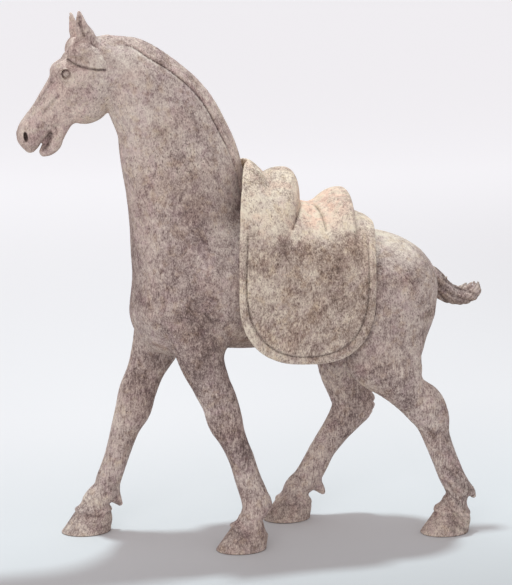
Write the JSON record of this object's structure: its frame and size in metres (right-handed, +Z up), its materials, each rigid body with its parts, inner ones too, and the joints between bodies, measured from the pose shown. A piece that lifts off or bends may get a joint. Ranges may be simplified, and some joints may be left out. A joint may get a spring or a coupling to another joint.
{
  "type": "pottery tomb horse",
  "caption": "Unglazed pottery figure of a striding horse with a lowered head, a short upswept tail and a loose saddle with a draped cover and long blanket, standing on its hooves.",
  "frame": {"origin": "on the ground under the middle of the figure's overall length and width, in the plane of the hooves' undersides", "axes": "+Z up, head toward -X, tail toward +X, the horse's left side toward -Y"},
  "size_m": [0.5312, 0.1532, 0.5958],
  "materials": {
    "horse_clay": "matte, unglazed fired clay with pits and soil",
    "saddle_clay": "matte, unglazed fired clay with traces of pale slip"
  },
  "bodies": {
    "root": {"horse": "horse_clay", "saddle": "saddle_clay"}
  },
  "joints": []
}
